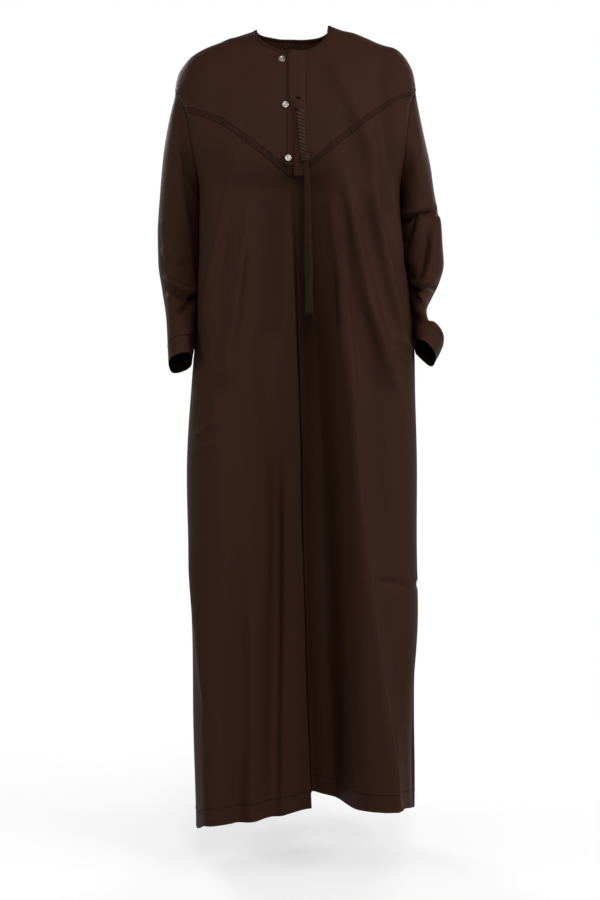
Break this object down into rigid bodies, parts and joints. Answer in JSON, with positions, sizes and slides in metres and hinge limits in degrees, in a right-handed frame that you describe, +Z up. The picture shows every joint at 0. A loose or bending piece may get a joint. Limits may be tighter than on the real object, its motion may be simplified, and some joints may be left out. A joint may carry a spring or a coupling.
{
  "type": "djellaba (collarless kandora robe)",
  "caption": "Ankle-length collarless robe with a V yoke, half placket with press studs, neck tassel, long sleeves and side pockets, kept in its worn hollow form",
  "frame": {"origin": "Between the neck ends of the two shoulder seams, at the height of those seams, where the wearer's shoulders or a hanger carry the robe", "axes": "+Z up, the front of the robe towards -Y, the wearer's left towards +X"},
  "size_m": [0.5267, 0.3527, 1.4257],
  "materials": {
    "robe_cloth": "dark brown woven suiting with a faint sheen",
    "bound_edge": "dark brown bias binding",
    "pocket_cloth": "plain dark pocketing",
    "snap_metal": "satin nickel press stud",
    "tassel_thread": "olive brown silky thread"
  },
  "bodies": {
    "root": {"front_lower": "robe_cloth", "yoke_right": "robe_cloth", "yoke_left": "robe_cloth", "back": "robe_cloth", "sleeve_right": "robe_cloth", "sleeve_left": "robe_cloth", "placket_flap": "robe_cloth", "placket_stand": "robe_cloth", "neck_binding": "bound_edge", "pocket_right": "pocket_cloth", "pocket_left": "pocket_cloth", "snap_top": "snap_metal", "snap_middle": "snap_metal", "snap_bottom": "snap_metal", "tassel_cord": "tassel_thread", "tassel_strands": "tassel_thread", "tassel_tie": "tassel_thread"}
  },
  "joints": []
}
